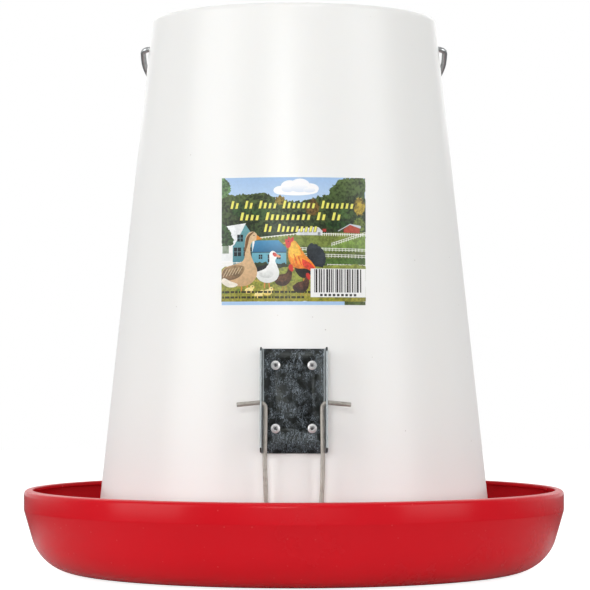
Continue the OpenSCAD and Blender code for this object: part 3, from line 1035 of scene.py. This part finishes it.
def draw_scenery():
    lay("#c6dcf3", block(0, 70, 103, 91.9), 0.03, "#a6c7ec")
    lay("#1e2f18", leafy([
        (0, 48), (0, 77), (10, 79), (20, 79.6), (31, 81), (40, 76), (50, 74.6), (60, 75), (68, 77.5),
        (76, 79), (84, 78), (103, 78), (103, 46), (50, 47)], 1.6, 1), 0.85, "#46572c")
    lay("#22331a", leafy([
        (77, 62), (77, 80), (80, 86), (86, 90.6), (94, 91.4), (102.6, 91.2), (102.8, 74),
        (102.6, 60)], 1.8, 2), 0.8, "#4b5d2f")
    for u, v, ru, rv, tone in (
            (42, 75, 3.4, 3.4, "#7c6a2c"), (65, 70, 5, 6, "#6b5124"), (99, 71, 4, 6.5, "#a08a2b"),
            (89, 66, 6, 4, "#3c5527"), (28, 66, 7, 5, "#2e4a22"), (55, 63, 8, 4, "#1a2c14"),
            (14, 68, 6, 5, "#2c4a20"), (84, 58, 9, 3, "#24401b"), (99, 58, 4, 5, "#5c6b2a")):
        lay(tone, leafy(oval(u, v, ru, rv, 0, 8), 1.5, u), 0.8)
    lay("#5a7d4a", leafy([
        (0, 77), (0, 91), (3, 91), (5.6, 88), (7, 83), (5, 79.5), (2.5, 78)], 1.3, 5), 0.7)
    lay("#55662f", [(24, 49), (60, 51.5), (103, 53), (103, 27), (24, 27)], 0.4, "#7d8a3c")
    lay("#6f8a3a", [(52, 40), (76, 42.5), (103, 52), (103, 39), (52, 39)], 0.35, "#84a04a")
    lay("#4c6b2a", [(55, 33), (103, 34.5), (103, 30), (55, 29)], 0.4)


def draw_buildings():
    lay("#d9dcdd", [(54, 50.4), (54, 53), (62, 54.2), (70, 55.8), (72.4, 53.4), (72.4, 50.4)], 0.1)
    lay("#f6f6f4", [(53.4, 53), (62, 54.2), (70, 55.9), (68, 56.4), (56, 55)], 0.02)
    lay("#8b8f92", block(69, 50.6, 70.8, 52.6))
    lay("#b4392f", block(72.4, 53, 75, 55))
    lay("#b24a36", [(87.5, 52.4), (87.5, 54.8), (92, 58.2), (99, 56), (99, 52)], 0.2)
    lay("#c9cfd6", [
        (92, 58.8), (99.8, 57.4), (99.8, 55.6), (98.4, 55.8), (92, 58.1), (84, 53.4), (83.2, 53.6)])
    fence(72, 50, 103, 49.6, 2.2, 1.6, 1, 0.5)
    fence(25, 47.6, 54, 50.6, 1.2, 2.2, 1, 0.5)
    for line in ((79, 42.5, 103, 50.5, 2.6, 1.7), (56, 39.4, 103, 38.6, 2.4, 2.4),
                 (57, 35, 103, 34, 2.6, 2.4), (76, 27, 103, 26.6, 3, 2.2)):
        fence(*line)
    lay("#3e7f8d", [
        (8.4, 26), (8.4, 43), (12.6, 50), (17.4, 58.2), (22.4, 51), (22.4, 26)], 0.08, "#6fa6ab")
    lay("#e3e8ea", [
        (2.4, 57), (17.8, 59.2), (13.4, 50.4), (9.2, 43.2), (2.6, 45)], 0.12, "#f4f6f6")
    lay("#2f6e96", [
        (24.4, 46.6), (41, 46.8), (46.6, 41.4), (46.8, 38.4), (22.4, 38.4)], 0.06, "#4b93bd")
    lay("#5a9fb4", block(22.4, 26, 46.6, 38.4), 0.08, "#6fb0c0")
    lay("#2c5a6c", block(22.4, 37.8, 46.8, 38.6))
    for u0, v0, u1, v1 in (
            (11.6, 46, 15.8, 51), (9.2, 35.6, 14.4, 41.8), (16.2, 35.6, 22, 41.8),
            (27, 33.4, 29.6, 36.6), (33.4, 31, 36, 36.6), (40, 33.2, 42.6, 36.6)):
        lay("#18242a", block(u0, v0, u1, v1), 0.2)
        lay("#7fa3ab", bar((u0 + u1) / 2, v0, (u0 + u1) / 2, v1, 0.3))
        lay("#7fa3ab", bar(u0, (v0 + v1) / 2, u1, (v0 + v1) / 2, 0.25))
    lay("#eef0ef", block(0, 32.4, 7.8, 38.4), 0.05)
    lay("#26401f", leafy([
        (0, 44), (0, 58), (4, 57), (8, 50), (9, 45), (5, 42)], 1.4, 9), 0.8, "#3a5a2c")
    lay("#8d9a86", block(1, 37.6, 5.6, 43), 0.2)
    fence(0, 25.6, 17, 26, 5.6, 2.8, 3, 0.55)
    lay("#28351c", leafy([
        (24, 24), (24, 30), (30, 31), (38, 29.6), (46, 30), (47, 24)], 1.2, 12), 0.7)


def draw_ground():
    lay("#938d2b", leafy([
        (0, 3.4), (0, 25.6), (12, 27), (30, 26), (52, 28), (76, 28.6), (103, 28.4), (103, 15),
        (103, 3.4), (60, 2.9), (30, 2.9)], 0.8, 15), 0.38, "#8b9640")
    for i in range(46):
        u = (i * 37.3) % 101 + 1
        v = (i * 11.9) % 17 + 4.5
        size = 1.2 + (i * 7 % 5) * 0.35
        tone = ("#a99b35", "#6a7f2c", "#b3a24a")[i % 3]
        lay(tone, oval(u, v, size, size * 0.4, 10 - i % 20, 7), 0.4)


def bird_eye(u, v):
    lay("#15110d", oval(u, v, 0.42, 0.42, 0, 7))


def draw_rooster():
    for i in range(9):
        reach = 12.5 - i * 0.7
        lean = 96 - i * 15
        tip = on_oval(66.5, 30.5, reach, reach * 1.15, lean)
        bow = on_oval(66, 30.5, reach * 0.75, reach * 0.9, lean + 26)
        fold = on_oval(67.6, 30, reach * 0.5, reach * 0.5, lean - 16)
        tone = ("#14161a", "#23282d", "#0d0f11")[i % 3]
        rounded(tone, [(64, 28.5), bow, tip, fold], 0.35, "#343b42")
    strips("#c9842e", 0.7, (58.4, 15, 59.8, 25), (61.8, 16, 61.2, 25))
    rounded("#1c1712", [(52.5, 27), (56, 21), (61, 20), (64.5, 24), (63, 28), (57, 30)], 0.5)
    rounded("#e8781c", [
        (48, 39), (49.4, 45), (52.6, 46.4), (55.6, 43), (60, 36.5), (65, 31), (67.4, 27),
        (65.4, 24.6), (60.5, 26.5), (55, 26.6), (51, 28.4), (48.4, 33)], 0.25, "#f3a63a")
    rounded("#f6c24a", [
        (48.4, 38), (49.6, 44), (52.6, 45.4), (54.8, 42), (57, 37), (54, 35.6), (51, 34)], 0.2)
    for i in range(7):
        u = 50.2 + i * 1.6
        feather = bar(u, 38 - i * 0.9, u + 2.4, 30.6 - i * 0.5, 0.5)
        lay("#d9491b" if i % 2 else "#f7b23f", feather, 0.1)
    rounded("#d8402a", [(58, 33), (63.4, 30.6), (66.6, 27), (64, 25.6), (59, 28)], 0.3)
    rounded("#d63a3f", [
        (45.9, 44.4), (45.8, 47.6), (47.4, 47.2), (48.2, 49.6), (49.6, 47.9), (51.4, 49.2),
        (51.8, 46.6), (50, 45.2), (49.6, 42.6), (47.4, 41)])
    lay("#e3b65a", [(45.9, 45.6), (43.9, 44.6), (45.9, 44)])
    bird_eye(48.2, 45.9)


def draw_hen(u, v, size, tone, top_tone):
    strips("#b98a2e", 0.5, (u - 1, v - 8 * size, u - 0.4, v - 4),
           (u + 1.6, v - 8 * size, u + 1.2, v - 4))
    rounded(tone, [
        (u - 7 * size, v - 1), (u - 4.6 * size, v - 5 * size), (u + 1, v - 5.6 * size),
        (u + 5 * size, v - 1.5), (u + 5.6 * size, v + 5 * size), (u + 3.4 * size, v + 7.4 * size),
        (u + 1.6 * size, v + 3.4), (u - 3 * size, v + 2.2)], 0.6, top_tone)
    rounded(top_tone, [
        (u - 5 * size, v), (u - 1, v + 1.6), (u + 2, v), (u, v - 2.6),
        (u - 3.4 * size, v - 2.4)], 0.6)
    rounded("#cf3328", [
        (u + 3.2 * size, v + 7), (u + 4 * size, v + 9.6 * size), (u + 6 * size, v + 8.8 * size),
        (u + 6.8 * size, v + 5.6 * size), (u + 5.4 * size, v + 4.4 * size)])
    lay("#dca94a", [(u + 6.4 * size, v + 7), (u + 8.2 * size, v + 6.2), (u + 6.4 * size, v + 5.8)])


def draw_duck():
    strips("#d98a52", 0.8, (31, 12.6, 31.4, 17), (34.6, 13, 34.2, 17))
    rounded("#dfe1de", [
        (25, 21.6), (28.6, 17.6), (34, 16.4), (39.6, 18.6), (41.6, 23.6), (40.2, 28.4), (38.8, 32),
        (40, 35.4), (39, 38.2), (36.6, 39.2), (34.6, 37), (34.6, 32), (33, 28.4), (29, 26.6),
        (26, 26)], 0.05, "#fbfbf9")
    rounded("#c9ccc8", [
        (27.4, 22), (31, 20), (36, 20.4), (37.4, 23.6), (33, 25.4), (29, 25)], 0.1, "#eeefec")
    rounded("#1b1d1f", [
        (25.2, 24.4), (25.6, 27.4), (29, 28.6), (33, 29.4), (32, 27), (29.4, 25.6)], 0.3)
    rounded("#d9534b", [(37.2, 38), (39.2, 37.6), (40.2, 35.6), (38.6, 35), (37, 36.4)])
    lay("#e2a07a", [(39.8, 37), (42.6, 35.4), (42.2, 34.4), (39.6, 34.8)])
    bird_eye(37.8, 37.2)


def draw_goose():
    strips("#d58a3a", 0.9, (14.6, 10.4, 15, 16), (19, 11, 18.6, 17))
    rounded("#cba57a", [
        (0.4, 22), (5, 15.6), (12, 14), (19.6, 15), (24.8, 19.6), (25.8, 25.6), (23.6, 31),
        (21.4, 36.4), (21, 42), (22.4, 45.8), (25.4, 47), (26, 50.2), (23.8, 52.8), (20.4, 52.6),
        (17.8, 49), (17, 42), (17, 35.6), (15, 31.6), (8.6, 29.4), (2.4, 27)], 0.12, "#e2c49a")
    rounded("#7a5433", [
        (17.2, 38), (17.4, 45), (18.6, 49.4), (21.4, 52.2), (23.6, 52.6), (20.6, 49.4),
        (19.2, 44)], 0.2)
    rounded("#6c5238", [
        (0.2, 20.6), (4, 18.4), (11, 19.6), (15.6, 23.4), (16.6, 28), (10, 29.2),
        (3, 27)], 0.35, "#a78a63")
    for i in range(6):
        lay("#d8c3a0", bar(1.4 + i * 2.2, 20.6 + i * 0.5, 4.6 + i * 2.1, 26.4 + i * 0.3, 0.4))
    rounded("#efe7d8", [(0.4, 17), (5, 13.6), (10, 13.6), (12, 15.6), (7, 17.6), (2, 20)], 0.1)
    lay("#e08a34", [(25.6, 50.6), (29.6, 47.8), (25.2, 47)])
    bird_eye(23.6, 50.2)


def draw_chick(u, v, tilt):
    lay("#e6c766", oval(u, v, 3.1, 2.2, tilt), 0.15, "#f5e6a6")
    lay("#f2dd90", oval(u + 2.4, v + 2.4, 1.6, 1.5), 0.1)
    lay("#dd8b2c", [(u + 3.8, v + 2.8), (u + 5, v + 2.3), (u + 3.8, v + 2)])
    bird_eye(u + 2.8, v + 2.8)


def draw_birds():
    draw_rooster()
    draw_hen(45, 20, 1.0, "#3a2416", "#5b3a22")
    draw_hen(57.6, 14.6, 0.92, "#33201a", "#553322")
    draw_duck()
    draw_goose()
    for u, v, tilt in ((20, 11, 12), (27, 7.6, -8), (33.4, 9.6, 5)):
        draw_chick(u, v, tilt)


def draw_panels():
    # a plain white cloud in the sky
    for u, v, ru, rv in ((43, 82.6, 5.6, 3.2), (49, 85.2, 6.4, 4.6), (56.4, 86, 7, 5),
                         (63.4, 83.8, 6.4, 3.8), (53.6, 82, 15.6, 3.2)):
        lay("#ffffff", oval(u, v, ru, rv, 0, 28))
    for u, v, ru, rv in ((47.6, 83.4, 4.4, 2.2), (56, 84, 6.4, 2.8), (63, 82.8, 4.4, 1.8)):
        lay("#dfe9f6", oval(u, v, ru, rv, 0, 20), 0.0, "#ffffff")
    # rows of plain slanted strokes in groups
    for v, u0, u1, groups in (
            (69.6, 6.6, 95.6, (2, 2, 4, 7, 7)), (61.2, 13.5, 86.3, (4, 9, 2, 2)),
            (52.8, 30.6, 69.3, (2, 9))):
        strokes = sum(groups) + (len(groups) - 1) * 0.9
        pitch = (u1 - u0) / strokes
        u = u0
        for group in groups:
            for i in range(group):
                tall = 5.6 if i == 0 else 3.6 + (i * 5 % 3) * 0.25
                slant = tall * 0.22
                for grown, tone in ((0.3, "#25280f"), (0, "#f0ea6c")):
                    left, right = u - grown, u + pitch * 0.5 + grown
                    low, high = v - grown, v + tall + grown
                    lay(tone, [
                        (left, low), (right, low), (right + slant, high), (left + slant, high)])
                u += pitch
            u += pitch * 0.9
    # short dark strokes at the foot
    for v, u1 in ((9.2, 62), (5.4, 58)):
        u = 1.0
        i = 0
        while u < u1:
            wide = 1.2 + (i * 7 % 4) * 0.7
            lay("#2b2a14", block(u, v, u + wide, v + 1.5))
            u += wide + 0.7
            i += 1
    # a block of upright bars
    lay("#f4f4f2", block(63.9, 6.2, 103.2, 26.6))
    u = 66.4
    i = 0
    while u < 99.5:
        wide = (0.45, 0.9, 0.45, 1.35, 0.9)[i * 3 % 5]
        lay("#2a2629", block(u, 9.6, u + wide, 26.2))
        u += wide + (0.5, 0.95, 0.5, 0.7)[i * 5 % 4]
        i += 1
    for i in range(9):
        lay("#3a3a3a", block(70.6 + i * 3, 6.9, 72.4 + i * 3, 8.6))
    lay("#a9c8ea", block(0.6, 0.7, 88, 3.2), 0.03)
    lay("#4a5a26", block(88, 0.7, 103, 3.2), 0.5)


def label_outline():
    """Square corners on the left and round ones on the right."""
    w, h, r = LABEL_W, LABEL_H, LABEL_CORNER_R
    return [(0, 0), *arc(w - r, r, r, -90, 0, 8), *arc(w - r, h - r, r, 0, 90, 8), (0, h)]


def inside_picture(u, v):
    """Keeps a shape's point inside the printed area, just short of the label's edge."""
    left, right, ends = PRINT_MARGINS
    return min(max(u, left), LABEL_W - right), min(max(v, ends), LABEL_H - ends)


def top_shape(u, v, shapes):
    """The number of the last shape laid over a point, or None outside the label."""
    for index in range(len(shapes) - 1, -1, -1):
        left, bottom, right, top, ring = shapes[index]
        if not (left <= u <= right and bottom <= v <= top):
            continue
        inside = False
        for (u0, v0), (u1, v1) in zip(ring, ring[1:] + ring[:1]):
            if (v0 > v) != (v1 > v) and u < u0 + (v - v0) * (u1 - u0) / (v1 - v0):
                inside = not inside
        if inside:
            return index
    return None


def make_label():
    lay("#f7f7f5", label_outline())
    draw_scenery()
    draw_buildings()
    draw_ground()
    draw_birds()
    draw_panels()
    points, faces, shapes = [], [], []
    for index, (_, _, _, outline) in enumerate(picture):
        kept = outline if index == 0 else [inside_picture(u, v) for u, v in outline]
        across, up = [u for u, _ in kept], [v for _, v in kept]
        shapes.append((min(across), min(up), max(across), max(up), kept))
        faces.append(list(range(len(points), len(points) + len(kept))))
        points += [Vector(p) for p in kept]
    lines = []
    for i in range(1, LABEL_STRIPS):
        u = LABEL_W * i / LABEL_STRIPS
        lines.append((len(points), len(points) + 1))
        points += [Vector((u, 0.01)), Vector((u, LABEL_H - 0.01))]
    spots, _, triangles, *_ = geometry.delaunay_2d_cdt(
        points, lines, faces, INSIDE_ONLY, SAME_SPOT, False)
    left, bottom = label_low.x, label_low.z

    def on_cone(u, v, lift):
        x, z = left + u, bottom + v
        r = hopper_r(z) + lift
        return Vector((x, -math.sqrt(r * r - x * x), z)) * MM

    kept = []
    for face in triangles:
        middle = sum((spots[i] for i in face), Vector((0, 0))) / len(face)
        owner = top_shape(middle.x, middle.y, shapes)
        if owner is not None:
            kept.append((face, owner))
    mesh = bpy.data.meshes.new("Label")
    face_top = [on_cone(p.x, p.y, SKIN_GAP + LABEL_T) for p in spots]
    mesh.from_pydata(face_top, [], [face for face, _ in kept])
    ink = mesh.color_attributes.new("ink", "FLOAT_COLOR", "CORNER")
    tones = []
    for face, owner in kept:
        low, high, speckle, _ = picture[owner]
        _, start, _, end, _ = shapes[owner]
        for corner in face:
            t = min(max((spots[corner].y - start) / max(end - start, 0.01), 0), 1)
            tones += [a + (b - a) * t for a, b in zip(low[:3], high[:3])] + [speckle]
    ink.data.foreach_set("color", tones)
    label = add_piece("Label", mesh, VINYL)
    modify(label, "SOLIDIFY", thickness=LABEL_T * MM, offset=-1)
    settle(label, 40, outward=False)
    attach(label, "hopper")
    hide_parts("label")


# ---------- the whole feeder ----------

make_camera()
make_studio()
make_floor()

SKIN = moulded_skin()
SCRATCHES = fine_scratches()
HANDLING = handling()
GRAIN = drawn_grain()
TURNED_WALL = turned_wall_tree()
ROUND_WIRE = round_wire_tree()
FASTENERS = fastener_tree()

RED = red_polyethylene()
WHITE = white_polyethylene()
VINYL = printed_vinyl()
ZINC = galvanised_sheet()
BAIL_METAL = bright_metal("Zinc-plated bail wire", "#c2c5c6", "#9a9d9f", 0.30, 0.85)
WIRE_METAL = bright_metal("Drawn spring wire", "#b4afa7", "#989289", 0.42, 0.4)
RIVET_METAL = bright_metal("Bright rivet", "#f0f0f0", "#dadadb", 0.36, 0.35, scale=500.0)
PIN_METAL = bright_metal("Broken pin", "#6a6a6c", "#3c3c3e", 0.45, scale=1500.0)
WASHER_METAL = bright_metal("Backing washer", "#d5d7d9", "#a9abae", 0.32, scale=600.0)

make_tray()
make_hopper()
make_label()
for end in FRONT_AND_REAR:
    make_bracket(end)
make_fasteners()
make_adjusting_wires()
make_bail()
